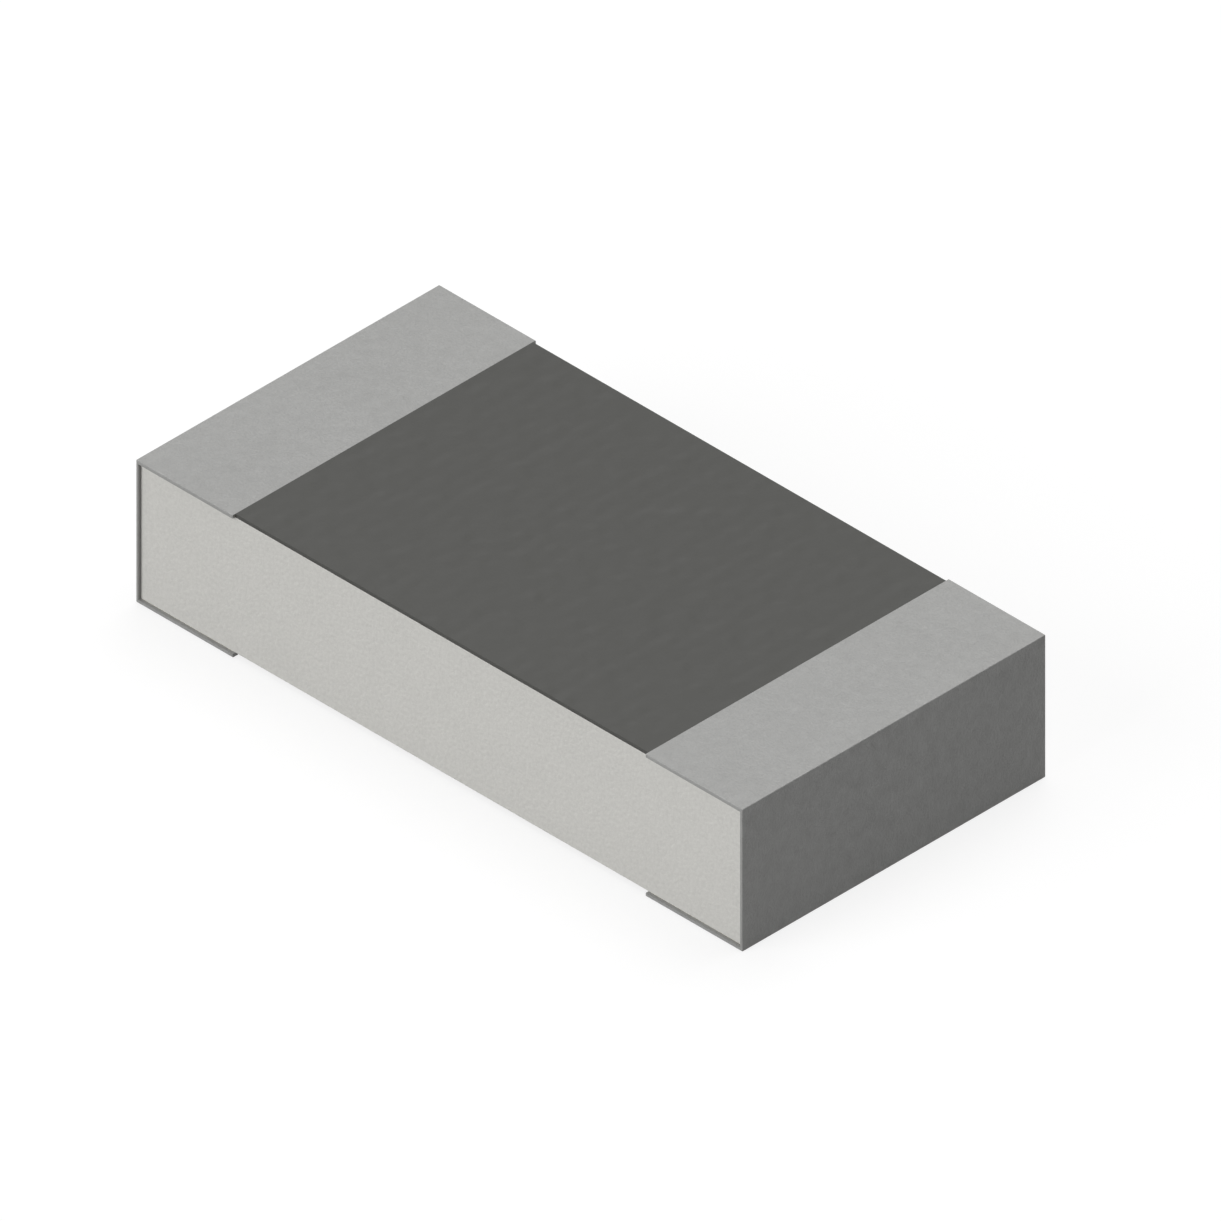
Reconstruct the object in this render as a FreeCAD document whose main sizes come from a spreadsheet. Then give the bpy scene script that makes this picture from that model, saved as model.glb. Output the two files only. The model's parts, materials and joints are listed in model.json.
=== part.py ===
import FreeCAD, Part
import Sketcher
import math
import os

# Thick-film chip resistor, lying on its solder lands, in millimetres
# X runs along the chip, Y across it and Z up; the origin is under its middle, at the board
doc = FreeCAD.newDocument("ChipResistor")

# Driving dimensions
sizes = {
    # The finished chip, measured over its plating
    "ChipLength": 3.2,
    "ChipWidth": 1.6,
    "ChipHeight": 0.65,
    "TopLandLength": 0.51,
    "BottomLandLength": 0.51,
    # Silver pads printed on the ceramic; the top ones are narrower where the coat covers them
    "TopPadThickness": 0.003,
    "BackPadThickness": 0.003,
    "PadSideMargin": 0.1,
    # Metal film on each end face, and how far it laps onto the pads
    "EndFilmThickness": 0.0025,
    "EndFilmLap": 0.12,
    # Plating: its thickness on the faces, and how far it has grown past the ceramic's edges
    "NickelThickness": 0.004,
    "NickelRim": 0.006,
    "TinThickness": 0.006,
    "TinRim": 0.008,
    "TinEdgeRadius": 0.004,
    # Resistor film, and how far it laps onto the pads
    "FilmThickness": 0.005,
    "FilmSideMargin": 0.2,
    "FilmLap": 0.09,
    # Glass over the film, and its wall around the film
    "GlassThickness": 0.003,
    "GlassMargin": 0.03,
    # Coat between the terminals: over the glass, and beyond the ends of the glass
    "CoatCover": 0.0045,
    "CoatEndWall": 0.02,
    "CoatEdgeRadius": 0.003,
    # Laser cut that trims the film to its value: in from one side, then along the chip
    "KerfWidth": 0.04,
    "KerfLeadIn": 0.01,
    "KerfDepth": 0.5,
    "KerfRun": 0.6,
    "KerfPlace": 0.35,
}
sheet = doc.addObject("Spreadsheet::Sheet", "Sizes")
for row, (name, size) in enumerate(sizes.items(), 1):
    sheet.set(f"A{row}", name)
    sheet.set(f"B{row}", str(size))
    sheet.setAlias(f"B{row}", name)
doc.recompute()

# Formulas over the sheet, for what several pieces share
plating = "(Sizes.NickelThickness + Sizes.TinThickness)"
rim = "(Sizes.NickelRim + Sizes.TinRim)"

# Heights above the board
back_pad_face = f"({plating} + Sizes.EndFilmThickness)"
ceramic_bottom = f"({back_pad_face} + Sizes.BackPadThickness)"
top_pad_face = f"(Sizes.ChipHeight - {plating} - Sizes.EndFilmThickness)"
ceramic_top = f"({top_pad_face} - Sizes.TopPadThickness)"
end_film_bottom = f"({back_pad_face} - Sizes.EndFilmThickness)"
end_film_top = f"({top_pad_face} + Sizes.EndFilmThickness)"

# What is built up on the ceramic between the terminals
glass_build = "(Sizes.FilmThickness + Sizes.GlassThickness)"
coat_build = f"(Sizes.TopPadThickness + {glass_build} + Sizes.CoatCover)"

# Places along X at the right-hand end
end_face = "(Sizes.ChipLength / 2)"
end_film_face = f"({end_face} - {plating})"
ceramic_end = f"({end_film_face} - Sizes.EndFilmThickness)"
end_film_lap = f"({ceramic_end} - Sizes.EndFilmLap)"
bottom_land_end = f"({end_face} - Sizes.BottomLandLength)"
back_pad_end = f"({bottom_land_end} + {rim})"
top_land_end = f"({end_face} - Sizes.TopLandLength)"
glass_end = f"({top_land_end} - Sizes.CoatEndWall)"
film_end = f"({glass_end} - Sizes.GlassMargin)"
top_pad_end = f"({film_end} - Sizes.FilmLap)"

# Widths across Y
ceramic_width = f"(Sizes.ChipWidth - 2 * {rim})"
tongue_width = f"({ceramic_width} - 2 * Sizes.PadSideMargin)"
film_width = f"({ceramic_width} - 2 * Sizes.FilmSideMargin)"
glass_width = f"({film_width} + 2 * Sizes.GlassMargin)"
nickel_width = "(Sizes.ChipWidth - 2 * Sizes.TinRim)"

# The nickel from the side: a clip round the end of the ceramic, which the tin is hollowed for
nickel_outline = [
    (f"{bottom_land_end} + Sizes.TinRim", "Sizes.TinThickness"),
    (f"{end_face} - Sizes.TinThickness", "Sizes.ChipHeight - Sizes.TinThickness"),
    (top_land_end, top_pad_face),
    (end_film_face, back_pad_face),
]

origin = (-1, 1)
start, end, centre = 1, 2, 3
upwards = FreeCAD.Vector(0, 0, 1)
half_turn = FreeCAD.Rotation(upwards, 180)
# Two places nearer than this are the same one
same_place = 0.00001
bodies = []


def add_body(name):
    body = doc.addObject("PartDesign::Body", name)
    body.Label = name
    bodies.append(body)
    return body


def add_sketch(body, plane, height="0"):
    sketch = body.newObject("Sketcher::SketchObject", "Outline")
    support = next(item for item in body.Origin.OriginFeatures if item.Role == plane)
    sketch.AttachmentSupport = (support, [""])
    sketch.MapMode = "FlatFace"
    sketch.setExpression("AttachmentOffset.Base.z", height)
    return sketch


def drive(sketch, kind, place, formula):
    # Ties a distance or a radius in the sketch to a formula
    index = sketch.addConstraint(Sketcher.Constraint(kind, *place, sketch.evalExpression(formula)))
    sketch.setExpression(f"Constraints[{index}]", formula)


def draw_steps(sketch, corners):
    # A closed outline that runs level from each corner given, then upright to the next
    path = []
    for (x, y), (next_x, _) in zip(corners, corners[1:] + corners[:1]):
        path += [(x, y), (next_x, y)]
    points = [FreeCAD.Vector(sketch.evalExpression(x), sketch.evalExpression(y)) for x, y in path]
    lines = [
        sketch.addGeometry(Part.LineSegment(point, following))
        for point, following in zip(points, points[1:] + points[:1])
    ]
    for line, following in zip(lines, lines[1:] + lines[:1]):
        sketch.addConstraint(Sketcher.Constraint("Coincident", line, end, following, start))
    for level, upright in zip(lines[::2], lines[1::2]):
        sketch.addConstraint(Sketcher.Constraint("Horizontal", level))
        sketch.addConstraint(Sketcher.Constraint("Vertical", upright))
    for level, (x, y) in zip(lines[::2], corners):
        drive(sketch, "DistanceX", (*origin, level, start), x)
        drive(sketch, "DistanceY", (*origin, level, start), y)


def draw_bar(sketch, x_low, x_high, width):
    draw_steps(sketch, [(x_low, f"-{width} / 2"), (x_high, f"{width} / 2")])


def kerf_sketch(body):
    # The path of a round beam: in past the side of the glass, round a corner, and on to a round end
    sketch = add_sketch(body, "XY_Plane", ceramic_top)
    radius = "Sizes.KerfWidth / 2"
    left_wall = f"Sizes.KerfPlace - {radius}"
    run_end = "Sizes.KerfPlace - Sizes.KerfRun"
    mouth_level = f"-{glass_width} / 2 - Sizes.KerfLeadIn"
    far_wall = f"Sizes.KerfDepth - {film_width} / 2"
    turn, left, run, low, high, reach = (
        sketch.evalExpression(formula)
        for formula in ("Sizes.KerfPlace", left_wall, run_end, mouth_level, far_wall, radius)
    )

    def line(x1, y1, x2, y2):
        return sketch.addGeometry(Part.LineSegment(FreeCAD.Vector(x1, y1), FreeCAD.Vector(x2, y2)))

    def bend(x, y, first, last):
        circle = Part.Circle(FreeCAD.Vector(x, y), upwards, reach)
        return sketch.addGeometry(Part.ArcOfCircle(circle, math.radians(first), math.radians(last)))

    mouth = line(left, low, turn + reach, low)
    outer = line(turn + reach, low, turn + reach, high - reach)
    corner = bend(turn, high - reach, 0, 90)
    outer_run = line(turn, high, run, high)
    tip = bend(run, high - reach, 90, 270)
    inner_run = line(run, high - 2 * reach, left, high - 2 * reach)
    inner = line(left, high - 2 * reach, left, low)
    for level in (mouth, outer_run, inner_run):
        sketch.addConstraint(Sketcher.Constraint("Horizontal", level))
    for upright in (outer, inner):
        sketch.addConstraint(Sketcher.Constraint("Vertical", upright))
    for edge, following in ((mouth, outer), (inner_run, inner), (inner, mouth)):
        sketch.addConstraint(Sketcher.Constraint("Coincident", edge, end, following, start))
    for edge, following in ((outer, corner), (corner, outer_run), (outer_run, tip), (tip, inner_run)):
        sketch.addConstraint(Sketcher.Constraint("Tangent", edge, end, following, start))
    sketch.addConstraint(Sketcher.Constraint("Equal", corner, tip))
    drive(sketch, "Radius", (corner,), radius)
    drive(sketch, "DistanceX", (*origin, mouth, start), left_wall)
    drive(sketch, "DistanceX", (*origin, corner, centre), "Sizes.KerfPlace")
    drive(sketch, "DistanceX", (*origin, tip, centre), run_end)
    drive(sketch, "DistanceY", (*origin, mouth, start), mouth_level)
    drive(sketch, "DistanceY", (*origin, outer_run, start), far_wall)
    return sketch


def shape_up(body, kind, name, sketch, length):
    # A pad or a pocket of one outline
    feature = body.newObject(f"PartDesign::{kind}", name)
    feature.Profile = sketch
    feature.setExpression("Length", length)
    return feature


def across(body, kind, name, width, corners):
    # From a side outline, to both sides of the chip's middle
    sketch = add_sketch(body, "XZ_Plane")
    draw_steps(sketch, corners)
    shape_up(body, kind, name, sketch, width).SideType = "Symmetric"


def upward(body, kind, name, sketch, height):
    # From a plan outline, up from its own level
    shape_up(body, kind, name, sketch, height).Reversed = kind == "Pocket"


def round_edges(body, sides, radius):
    # Rounds each edge where two of the named sides of the piece's box meet
    doc.recompute()
    sharp = body.Tip
    box = sharp.Shape.BoundBox

    def lies_on(edge, side):
        places = [getattr(point, side[0]) for point in edge.Vertexes]
        return all(math.isclose(place, getattr(box, side), abs_tol=same_place) for place in places)

    corners = [
        f"Edge{index}"
        for index, edge in enumerate(sharp.Shape.Edges, 1)
        if sum(lies_on(edge, side) for side in sides) == 2
    ]
    fillet = body.newObject("PartDesign::Fillet", "RoundedEdges")
    fillet.Base = (sharp, corners)
    fillet.setExpression("Radius", radius)


def climbing(end_x, build):
    # Side outline of a layer that lies on the ceramic and climbs onto the pad at each end
    step = f"({top_pad_end} - {build})"
    return [
        (f"-{end_x}", top_pad_face),
        (f"-{top_pad_end}", ceramic_top),
        (top_pad_end, top_pad_face),
        (end_x, f"{top_pad_face} + {build}"),
        (step, f"{ceramic_top} + {build}"),
        (f"-{step}", f"{top_pad_face} + {build}"),
    ]


def make_ceramic(name):
    # Alumina plate that carries everything else
    body = add_body(name)
    corners = [(f"-{ceramic_end}", ceramic_bottom), (ceramic_end, ceramic_top)]
    across(body, "Pad", "Plate", ceramic_width, corners)


def make_top_electrode(name):
    # Full width under the terminal, with a narrower tongue under the coat to meet the film
    body = add_body(name)
    plan = add_sketch(body, "XY_Plane", ceramic_top)
    corners = [
        (top_pad_end, f"-{tongue_width} / 2"),
        (top_land_end, f"-{ceramic_width} / 2"),
        (ceramic_end, f"{ceramic_width} / 2"),
        (top_land_end, f"{tongue_width} / 2"),
    ]
    draw_steps(plan, corners)
    upward(body, "Pad", "Print", plan, "Sizes.TopPadThickness")
    return body


def make_back_electrode(name):
    # Plain bar across the underside
    body = add_body(name)
    plan = add_sketch(body, "XY_Plane", back_pad_face)
    draw_bar(plan, back_pad_end, ceramic_end, ceramic_width)
    upward(body, "Pad", "Print", plan, "Sizes.BackPadThickness")
    return body


def make_end_electrode(name):
    # Thin film down the end face that laps onto both pads and joins them
    body = add_body(name)
    corners = [
        (end_film_lap, end_film_bottom),
        (end_film_face, end_film_top),
        (end_film_lap, top_pad_face),
        (ceramic_end, back_pad_face),
    ]
    across(body, "Pad", "Film", ceramic_width, corners)
    return body


def make_nickel_barrier(name):
    # Plated over the end film and the pads, and out past their edges, up to the coat
    body = add_body(name)
    across(body, "Pad", "Plating", nickel_width, nickel_outline)
    film_room = [(end_film_lap, end_film_bottom), (end_film_face, end_film_top)]
    across(body, "Pocket", "FilmRoom", ceramic_width, film_room)
    return body


def make_tin_plating(name):
    # Outer skin, which closes over the nickel's rims and down onto the ceramic
    body = add_body(name)
    corners = [
        (bottom_land_end, "0"),
        (end_face, "Sizes.ChipHeight"),
        (top_land_end, ceramic_top),
        (ceramic_end, ceramic_bottom),
    ]
    across(body, "Pad", "Plating", "Sizes.ChipWidth", corners)
    across(body, "Pocket", "NickelRoom", nickel_width, nickel_outline)
    pad_room = [(back_pad_end, back_pad_face), (end_film_face, top_pad_face), ("0", ceramic_bottom)]
    across(body, "Pocket", "PadRoom", ceramic_width, pad_room)
    round_edges(body, ("XMax", "YMin", "YMax", "ZMin", "ZMax"), "Sizes.TinEdgeRadius")
    return body


def make_film(name):
    # Resistor film from pad to pad, trimmed by the laser's cut
    body = add_body(name)
    across(body, "Pad", "Print", film_width, climbing(film_end, "Sizes.FilmThickness"))
    upward(body, "Pocket", "Kerf", kerf_sketch(body), "Sizes.TopPadThickness + Sizes.FilmThickness")


def make_glass(name):
    # Cap over the film, which also closes its sides and ends; the laser cuts through it too
    body = add_body(name)
    across(body, "Pad", "Print", glass_width, climbing(glass_end, glass_build))
    across(body, "Pocket", "FilmRoom", film_width, climbing(film_end, "Sizes.FilmThickness"))
    upward(body, "Pocket", "Kerf", kerf_sketch(body), f"Sizes.TopPadThickness + {glass_build}")


def make_coat(name):
    # Dark coat, flush with the ceramic's sides, which buries the glass and fills the cut
    body = add_body(name)
    slab = add_sketch(body, "XY_Plane", ceramic_top)
    draw_bar(slab, f"-{top_land_end}", top_land_end, ceramic_width)
    upward(body, "Pad", "Print", slab, coat_build)
    across(body, "Pocket", "GlassRoom", glass_width, climbing(glass_end, glass_build))
    tongues = add_sketch(body, "XY_Plane", ceramic_top)
    draw_bar(tongues, f"-{top_land_end}", f"-{top_pad_end}", tongue_width)
    draw_bar(tongues, top_pad_end, top_land_end, tongue_width)
    upward(body, "Pocket", "PadRoom", tongues, "Sizes.TopPadThickness")
    upward(body, "Pad", "KerfFill", kerf_sketch(body), glass_build)
    round_edges(body, ("YMin", "YMax", "ZMax"), "Sizes.CoatEdgeRadius")


make_ceramic("ceramic_substrate")
for make, name in (
    (make_top_electrode, "top_electrode"),
    (make_back_electrode, "back_electrode"),
    (make_end_electrode, "end_electrode"),
    (make_nickel_barrier, "nickel_barrier"),
    (make_tin_plating, "tin_plating"),
):
    make(f"{name}_right")
    make(f"{name}_left").Placement = FreeCAD.Placement(FreeCAD.Vector(), half_turn)
make_film("resistor_film")
make_glass("glass_undercoat")
make_coat("protective_overcoat")
doc.recompute()

for item in doc.Objects:
    if {"Invalid", "Error"} & set(item.State):
        raise RuntimeError(f"{item.Label} is {item.State}")
    if item.TypeId == "PartDesign::Pocket" and item.Shape.Volume >= item.BaseFeature.Shape.Volume:
        raise RuntimeError(f"{item.Label} cuts nothing")
for body in bodies:
    if body.Shape.isNull() or not body.Shape.isValid() or len(body.Shape.Solids) != 1:
        raise RuntimeError(f"{body.Label} isn't one sound solid")

os.makedirs("parts", exist_ok=True)
for body in bodies:
    body.Shape.exportStep(f"parts/{body.Label}.step")
    print(f"{body.Label}: {body.Shape.Volume:.6f} cubic millimetres")
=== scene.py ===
import json
import math

import bmesh
import bpy
from mathutils import Matrix, Vector


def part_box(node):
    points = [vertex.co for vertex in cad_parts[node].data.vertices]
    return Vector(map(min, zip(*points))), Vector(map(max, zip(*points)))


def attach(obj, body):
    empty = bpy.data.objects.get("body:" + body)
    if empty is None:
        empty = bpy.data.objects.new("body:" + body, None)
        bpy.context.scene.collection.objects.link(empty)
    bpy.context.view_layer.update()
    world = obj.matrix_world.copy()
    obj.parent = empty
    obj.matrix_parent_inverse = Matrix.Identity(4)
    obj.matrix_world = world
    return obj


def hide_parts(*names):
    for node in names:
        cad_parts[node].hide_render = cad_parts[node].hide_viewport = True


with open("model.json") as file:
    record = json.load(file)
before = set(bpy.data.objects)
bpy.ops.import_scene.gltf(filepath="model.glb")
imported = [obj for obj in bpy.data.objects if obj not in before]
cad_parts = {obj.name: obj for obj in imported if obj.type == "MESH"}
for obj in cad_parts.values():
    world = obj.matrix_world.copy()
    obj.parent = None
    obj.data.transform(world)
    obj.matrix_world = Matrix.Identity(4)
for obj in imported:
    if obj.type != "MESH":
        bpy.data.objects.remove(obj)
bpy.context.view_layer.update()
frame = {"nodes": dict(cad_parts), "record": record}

nodes = frame["nodes"]
mm = 0.001  # the frame is in metres, and the sizes below are in millimetres
print("frame loaded:", len(nodes), "nodes")


# Shader sums

class Wire:
    # one output socket, so that a sum written on it adds its own nodes
    def __init__(self, tree, socket=None):
        self.tree = tree
        self.socket = socket

    def add(self, kind, settings=None, inputs=None, output=0):
        node = self.tree.nodes.new(kind)
        for name, setting in (settings or {}).items():
            setattr(node, name, setting)
        for name, value in (inputs or {}).items():
            if isinstance(value, Wire):
                self.tree.links.new(value.socket, node.inputs[name])
            else:
                node.inputs[name].default_value = value
        return Wire(self.tree, node.outputs[output] if node.outputs else None)

    def also(self, output):
        # another output of the same node
        return Wire(self.tree, self.socket.node.outputs[output])

    def sum(self, operation, first, second):
        return self.add("ShaderNodeMath", {"operation": operation}, {0: first, 1: second})

    def __add__(self, other):
        return self.sum("ADD", self, other)

    def __radd__(self, other):
        return self.sum("ADD", other, self)

    def __sub__(self, other):
        return self.sum("SUBTRACT", self, other)

    def __rsub__(self, other):
        return self.sum("SUBTRACT", other, self)

    def __mul__(self, other):
        return self.sum("MULTIPLY", self, other)

    def __rmul__(self, other):
        return self.sum("MULTIPLY", other, self)

    def larger(self, other):
        return self.sum("MAXIMUM", self, other)

    def noise(self, size, detail=2.0):
        # patches of about this size, in millimetres, from -0.5 to 0.5
        inputs = {"Vector": self, "Scale": 1 / size, "Detail": detail}
        return self.add("ShaderNodeTexNoise", None, inputs) - 0.5

    def waves(self, axis, pitch):
        # even waves along this axis, so many millimetres from crest to crest, from 0 to 1
        settings = {"wave_type": "BANDS", "bands_direction": axis}
        usualPitch = math.pi / 10  # from crest to crest at a scale of 1
        inputs = {"Vector": self, "Scale": usualPitch / pitch}
        return self.add("ShaderNodeTexWave", settings, inputs, "Fac")

    def stretch(self, scale):
        return self.add("ShaderNodeVectorMath", {"operation": "SCALE"}, {0: self, "Scale": scale})

    def shade(self, colour):
        # a colour made lighter or darker by this share
        return self.add("ShaderNodeVectorMath", {"operation": "SCALE"}, {0: colour, "Scale": 1 + self})


def startFinish(name):
    # an empty material, and the place on the piece in millimetres
    material = bpy.data.materials.new(name)
    material.use_nodes = True
    material.node_tree.nodes.clear()
    place = Wire(material.node_tree).add("ShaderNodeTexCoord", output="Object")
    return material, place.stretch(1 / mm)


def endFinish(place, depth, height, inputs):
    # the shader, over a relief of this depth in millimetres
    relief = {"Strength": 1.0, "Distance": depth * mm, "Height": height}
    normal = place.add("ShaderNodeBump", None, relief)
    shader = place.add("ShaderNodeBsdfPrincipled", None, {**inputs, "Normal": normal})
    place.add("ShaderNodeOutputMaterial", None, {"Surface": shader})


# Finishes

tin = {
    "colour": (0.331, 0.331, 0.323),
    "metallic": 0.08,
    "roughness": 0.5,
    "cloudSize": 0.35,
    "cloudShare": 0.1,
    "lumpSize": 0.055,
    "lumpShare": 0.07,
    "lumpPolish": 0.3,
    "grainSize": 0.009,
    "grainShare": 0.25,
    "grainRoughness": 0.3,
    "grainGlint": 0.4,
    "grainHeight": 0.35,
    "reliefDepth": 0.004,
}


def makeTin():
    # matte plating: low lumps, rubbed a little smoother on top,
    # with a fine grain that glints, under faint clouds
    material, place = startFinish("tin")
    cloud = place.noise(tin["cloudSize"])
    lump = place.noise(tin["lumpSize"])
    grain = place.noise(tin["grainSize"], detail=1.0)
    share = cloud * tin["cloudShare"] + lump * tin["lumpShare"] + grain * tin["grainShare"]
    endFinish(place, tin["reliefDepth"], lump + grain * tin["grainHeight"], {
        "Base Color": share.shade(tin["colour"]),
        "Roughness": tin["roughness"] + grain * tin["grainRoughness"] - lump * tin["lumpPolish"],
        "Metallic": tin["metallic"] + grain * tin["grainGlint"],
    })
    return material


alumina = {
    "colour": (0.72, 0.712, 0.678),
    "roughness": 0.75,
    "patchSize": 0.12,
    "patchShare": 0.05,
    "speckSize": 0.016,
    "speckShare": 0.2,
    "reliefDepth": 0.0032,
}


def makeAlumina():
    # fired ceramic: a dense speckle of grains, in faint patches
    material, place = startFinish("alumina")
    patch = place.noise(alumina["patchSize"])
    speck = place.noise(alumina["speckSize"], detail=3.0)
    share = patch * alumina["patchShare"] + speck * alumina["speckShare"]
    endFinish(place, alumina["reliefDepth"], speck, {
        "Base Color": share.shade(alumina["colour"]),
        "Roughness": alumina["roughness"],
    })
    return material


coat = {
    "colour": (0.0325, 0.0325, 0.028),
    "roughness": 0.55,
    "fillerSize": 0.012,
    "fillerShare": 0.6,
    "fillerRoughness": 0.15,
    "rippleSize": 0.11,
    "screenPitch": 0.078,
    "screenHeight": 0.06,
    "reliefDepth": 0.012,
}


def makeCoat():
    # filled resin, levelled but not quite flat,
    # with a trace of the screen that it was printed through
    material, place = startFinish("coat_resin")
    ripple = place.noise(coat["rippleSize"], detail=1.0)
    filler = place.noise(coat["fillerSize"], detail=1.0)
    screen = place.waves("X", coat["screenPitch"]) + place.waves("Y", coat["screenPitch"])
    endFinish(place, coat["reliefDepth"], ripple + screen * coat["screenHeight"], {
        "Base Color": (filler * coat["fillerShare"]).shade(coat["colour"]),
        "Roughness": coat["roughness"] + filler * coat["fillerRoughness"],
    })
    return material


# what the tin and the coat cover: each layer has one grain,
# with its size and its share of the shade and of the roughness
buriedLayers = {
    "nickel": {
        "colour": (0.48, 0.45, 0.4), "metallic": 1.0, "roughness": 0.35,
        "grainSize": 0.01, "grainShare": 0.15, "grainRoughness": 0.2, "reliefDepth": 0.001,
    },
    "end_film_metal": {
        "colour": (0.35, 0.34, 0.33), "metallic": 1.0, "roughness": 0.3,
        "grainSize": 0.02, "grainShare": 0.1, "grainRoughness": 0.15, "reliefDepth": 0.0005,
    },
    "silver_print": {
        "colour": (0.7, 0.68, 0.63), "metallic": 0.8, "roughness": 0.5,
        "grainSize": 0.008, "grainShare": 0.3, "grainRoughness": 0.3, "reliefDepth": 0.002,
    },
    "resistor_print": {
        "colour": (0.03, 0.032, 0.036), "metallic": 0.0, "roughness": 0.35,
        "grainSize": 0.03, "grainShare": 0.8, "grainRoughness": 0.2, "reliefDepth": 0.001,
    },
    "undercoat_glass": {
        "colour": (0.16, 0.24, 0.2), "metallic": 0.0, "roughness": 0.15,
        "grainSize": 0.06, "grainShare": 0.3, "grainRoughness": 0.1, "reliefDepth": 0.001,
    },
}


def makeBuriedLayer(name):
    layer = buriedLayers[name]
    material, place = startFinish(name)
    grain = place.noise(layer["grainSize"])
    endFinish(place, layer["reliefDepth"], grain, {
        "Base Color": (grain * layer["grainShare"]).shade(layer["colour"]),
        "Roughness": layer["roughness"] + grain * layer["grainRoughness"],
        "Metallic": layer["metallic"],
    })
    return material


finishes = {"tin": makeTin(), "alumina": makeAlumina(), "coat_resin": makeCoat()}
for name in buriedLayers:
    finishes[name] = makeBuriedLayer(name)
for row in frame["record"]["subparts"]:
    nodes[row["node"]].material_slots[0].material = finishes[row["material_slot"]]
print("finishes made:", len(finishes))


# Pieces

def millimetres(name):
    # a node's lowest and highest corners
    low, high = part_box(name)
    return low / mm, high / mm


def everything(bm):
    return bm.verts[:] + bm.edges[:] + bm.faces[:]


def pull(bm, faces, way):
    # draws faces out, with walls in their wake, and returns the moved faces
    edges = dict.fromkeys(edge for face in faces for edge in face.edges)
    corners = dict.fromkeys(corner for face in faces for corner in face.verts)
    drawn = bmesh.ops.extrude_face_region(bm, geom=[*faces, *edges, *corners])["geom"]
    corners = [item for item in drawn if isinstance(item, bmesh.types.BMVert)]
    bmesh.ops.translate(bm, vec=way, verts=corners)
    return [item for item in drawn if isinstance(item, bmesh.types.BMFace)]


def roundEdges(bm, edges, radius, steps):
    bmesh.ops.bevel(
        bm, geom=edges, offset=radius, offset_type="OFFSET", affect="EDGES",
        segments=steps, profile=0.5, material=-1)


def finishPiece(bm, name, node, slotName):
    # from millimetres to the frame's metres, and in place of its node
    bmesh.ops.scale(bm, vec=(mm, mm, mm), verts=bm.verts)
    mesh = bpy.data.meshes.new(name)
    bm.to_mesh(mesh)
    bm.free()
    piece = bpy.data.objects.new(name, mesh)
    bpy.context.collection.objects.link(piece)
    mesh.materials.append(finishes[slotName])
    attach(piece, "root")
    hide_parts(node)
    print(name, "made:", len(mesh.polygons), "faces")


terminal = {
    "edgeRadius": 0.004,
    "edgeSteps": 4,
    "samePlace": 0.0004,  # points nearer than this are one
    "flatAngle": 1,  # faces that meet at less than this many degrees become one
}


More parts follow.
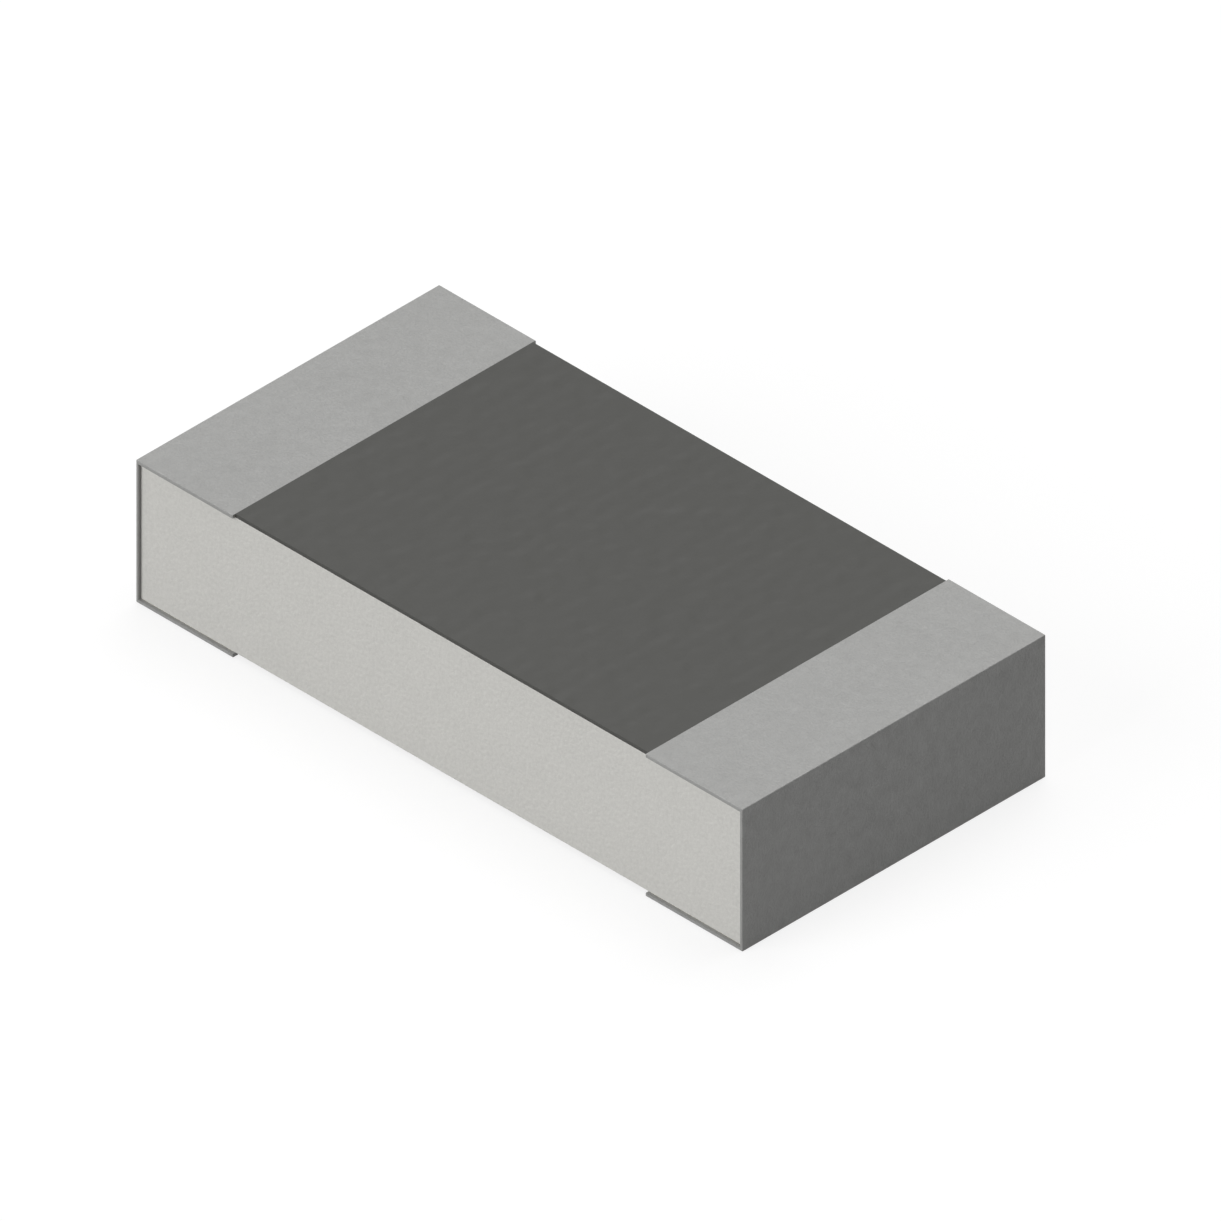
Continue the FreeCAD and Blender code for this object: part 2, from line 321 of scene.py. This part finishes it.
def makeTerminal(side):
    # tin skin, hollow for the nickel, the end film and the pads; built for the right-hand end
    skinLow, skinHigh = millimetres("tin_plating_right")
    nickelLow, nickelHigh = millimetres("nickel_barrier_right")
    backPadLow, backPadHigh = millimetres("back_electrode_right")
    topPadHigh = millimetres("top_electrode_right")[1]
    filmHigh = millimetres("end_electrode_right")[1]
    ceramicLow, ceramicHigh = millimetres("ceramic_substrate")
    nickelRim = nickelHigh.y - backPadHigh.y
    nickelTip = backPadLow.x - nickelRim

    def inCeramic(x, z):
        return x < ceramicHigh.x and ceramicLow.z < z < ceramicHigh.z

    def withinClip(x, z):
        return x < filmHigh.x and backPadLow.z < z < topPadHigh.z

    def inPads(x, z):
        return withinClip(x, z) and (x > backPadLow.x or z > ceramicLow.z)

    def inNickel(x, z):
        withinBox = x < nickelHigh.x and nickelLow.z < z < nickelHigh.z
        return withinBox and not withinClip(x, z) and (x > nickelTip or z > ceramicLow.z)

    def inside(face, room):
        middle = face.calc_center_median()
        return room(middle.x, middle.z)

    def outside(faces, room):
        return [face for face in faces if not inside(face, room)]

    # a sheet seen from the side, cut along the levels of all that lies inside
    bm = bmesh.new()
    bmesh.ops.create_grid(bm, x_segments=1, y_segments=1, size=0.5)
    span = skinHigh - skinLow
    middle = (skinHigh + skinLow) / 2
    upright = Matrix.Rotation(math.pi / 2, 3, "X")
    bmesh.ops.scale(bm, vec=(span.x, span.z, 1), verts=bm.verts)
    bmesh.ops.rotate(bm, cent=(0, 0, 0), matrix=upright, verts=bm.verts)
    bmesh.ops.translate(bm, vec=(middle.x, skinLow.y, middle.z), verts=bm.verts)
    levels = {
        (1, 0, 0): (nickelTip, backPadLow.x, ceramicHigh.x, filmHigh.x, nickelHigh.x),
        (0, 0, 1): (
            nickelLow.z, backPadLow.z, ceramicLow.z,
            ceramicHigh.z, topPadHigh.z, nickelHigh.z,
        ),
    }
    for way, places in levels.items():
        for place in places:
            spot = Vector(way) * place
            bmesh.ops.bisect_plane(bm, geom=everything(bm), plane_co=spot, plane_no=way)
    ceramicRoom = [face for face in bm.faces if inside(face, inCeramic)]
    bmesh.ops.delete(bm, geom=ceramicRoom, context="FACES")

    # the rim, the lip over the nickel's edge and the open middle, as far as the chip's own middle
    rim = pull(bm, bm.faces[:], (0, nickelLow.y - skinLow.y, 0))
    lip = pull(bm, outside(rim, inNickel), (0, nickelRim, 0))
    half = pull(bm, outside(lip, inPads), (0, -backPadLow.y, 0))
    bmesh.ops.delete(bm, geom=half, context="FACES")
    bmesh.ops.mirror(bm, geom=everything(bm), axis="Y", merge_dist=terminal["samePlace"])
    bmesh.ops.recalc_face_normals(bm, faces=bm.faces)
    flat = math.radians(terminal["flatAngle"])
    bmesh.ops.dissolve_limit(bm, angle_limit=flat, verts=bm.verts, edges=bm.edges)

    # the edges where two of the outer sides meet
    outerSides = [(0, skinHigh.x), (1, skinLow.y), (1, skinHigh.y), (2, skinLow.z), (2, skinHigh.z)]

    def sidesOf(edge):
        return [
            (axis, place) for axis, place in outerSides
            if all(abs(end.co[axis] - place) < terminal["samePlace"] for end in edge.verts)
        ]

    outerEdges = [edge for edge in bm.edges if len(sidesOf(edge)) == 2]
    roundEdges(bm, outerEdges, terminal["edgeRadius"], terminal["edgeSteps"])
    if side == "left":
        halfTurn = Matrix.Rotation(math.pi, 3, "Z")
        bmesh.ops.rotate(bm, cent=(0, 0, 0), matrix=halfTurn, verts=bm.verts)
    finishPiece(bm, "terminal_" + side, "tin_plating_" + side, "tin")


plate = {
    "edgeRadius": 0.0025,
    "edgeSteps": 2,
}


def makePlate():
    # ceramic plate, with its fired edges just off sharp
    low, high = millimetres("ceramic_substrate")
    bm = bmesh.new()
    bmesh.ops.create_cube(bm, size=1)
    bmesh.ops.scale(bm, vec=high - low, verts=bm.verts)
    bmesh.ops.translate(bm, vec=(high + low) / 2, verts=bm.verts)
    roundEdges(bm, bm.edges[:], plate["edgeRadius"], plate["edgeSteps"])
    finishPiece(bm, "ceramic_plate", "ceramic_substrate", "alumina")


makeTerminal("left")
makeTerminal("right")
makePlate()


# Studio

studio = {
    "sky": 0.22,
    "floorBounce": 0.25,  # grey of the floor where it lights the chip
    "floorPale": 0.26,  # grey of the floor that is seen, and its own light
    "floorGlow": 0.78,
    "floorHalf": 200,
    "floorDrop": 0.0001,  # the floor is this far under the lands
    # each lamp: the way to it, its light on a white sheet that faces it, and its width in degrees
    "front": ((-0.3, -1.0, 0.45), 0.56, 50),
    "top": ((-0.1, 0.38, 0.92), 0.51, 50),
}


def seenRays(start):
    # 1 for what the camera sees, straight or in metal and glass, and 0 for light on its way to the chip
    camera = start.add("ShaderNodeLightPath", output="Is Camera Ray")
    return camera.larger(camera.also("Is Glossy Ray")).larger(camera.also("Is Transmission Ray"))


def grey(level):
    return (level, level, level, 1)


def makeFloor():
    # pale to the eye and in reflections, mid grey for the light that it throws back
    bm = bmesh.new()
    bmesh.ops.create_grid(bm, x_segments=1, y_segments=1, size=studio["floorHalf"] * mm)
    bmesh.ops.translate(bm, vec=(0, 0, -studio["floorDrop"] * mm), verts=bm.verts)
    mesh = bpy.data.meshes.new("floor")
    bm.to_mesh(mesh)
    bm.free()
    floor = bpy.data.objects.new("floor", mesh)
    bpy.context.collection.objects.link(floor)
    material, place = startFinish("floor")
    pale = place.add("ShaderNodeBsdfDiffuse", None, {"Color": grey(studio["floorPale"])})
    glow = place.add("ShaderNodeEmission", None, {"Strength": studio["floorGlow"]})
    seen = place.add("ShaderNodeAddShader", None, {0: pale, 1: glow})
    bounce = place.add("ShaderNodeBsdfDiffuse", None, {"Color": grey(studio["floorBounce"])})
    surface = place.add("ShaderNodeMixShader", None, {0: seenRays(place), 1: bounce, 2: seen})
    place.add("ShaderNodeOutputMaterial", None, {"Surface": surface})
    mesh.materials.append(material)


def makeSky():
    # white to the eye and in reflections, and a low even light on the chip
    world = bpy.data.worlds.new("sky")
    world.use_nodes = True
    world.node_tree.nodes.clear()
    start = Wire(world.node_tree)
    strength = seenRays(start).larger(studio["sky"])
    surface = start.add("ShaderNodeBackground", None, {"Color": grey(1), "Strength": strength})
    start.add("ShaderNodeOutputWorld", None, {"Surface": surface})
    bpy.context.scene.world = world


def makeLamp(name):
    direction, light, width = studio[name]
    lamp = bpy.data.lights.new(name, "SUN")
    lamp.energy = math.pi * light  # a white sheet that faces a sun of strength pi is lit to 1
    lamp.angle = math.radians(width)
    holder = bpy.data.objects.new(name, lamp)
    holder.rotation_mode = "QUATERNION"
    holder.rotation_quaternion = Vector(direction).to_track_quat("Z", "Y")
    bpy.context.collection.objects.link(holder)


makeFloor()
makeSky()
makeLamp("front")
makeLamp("top")


# Camera

view = {
    "azimuth": 45,
    "elevation": math.degrees(math.atan(math.sqrt(0.5))),  # all three axes are seen alike
    "frameSide": 1221,
    "pixelsPerMm": 268.05,
    "originPixel": (590.8, 689.4),  # where the chip's origin is in the frame
    "distance": 20,
    "nearest": 1,
    "farthest": 1000,
}


def makeCamera():
    # parallel view, aimed so that the chip's origin falls on its pixel
    azimuth = math.radians(view["azimuth"])
    elevation = math.radians(view["elevation"])
    back = Vector((
        math.sin(azimuth) * math.cos(elevation),
        -math.cos(azimuth) * math.cos(elevation),
        math.sin(elevation),
    ))
    right = Vector((math.cos(azimuth), math.sin(azimuth), 0))
    up = back.cross(right)
    originX, originY = view["originPixel"]
    half = view["frameSide"] / 2
    aim = (right * (half - originX) + up * (originY - half)) / view["pixelsPerMm"]
    spot = (aim + back * view["distance"]) * mm
    turn = Matrix((right, up, back)).transposed().to_4x4()
    lens = bpy.data.cameras.new("camera")
    lens.type = "ORTHO"
    lens.ortho_scale = view["frameSide"] / view["pixelsPerMm"] * mm
    lens.clip_start = view["nearest"] * mm
    lens.clip_end = view["farthest"] * mm
    camera = bpy.data.objects.new("camera", lens)
    camera.matrix_world = Matrix.Translation(spot) @ turn
    bpy.context.collection.objects.link(camera)
    bpy.context.scene.camera = camera


makeCamera()
bpy.context.scene.view_settings.view_transform = "Standard"
print("studio set")
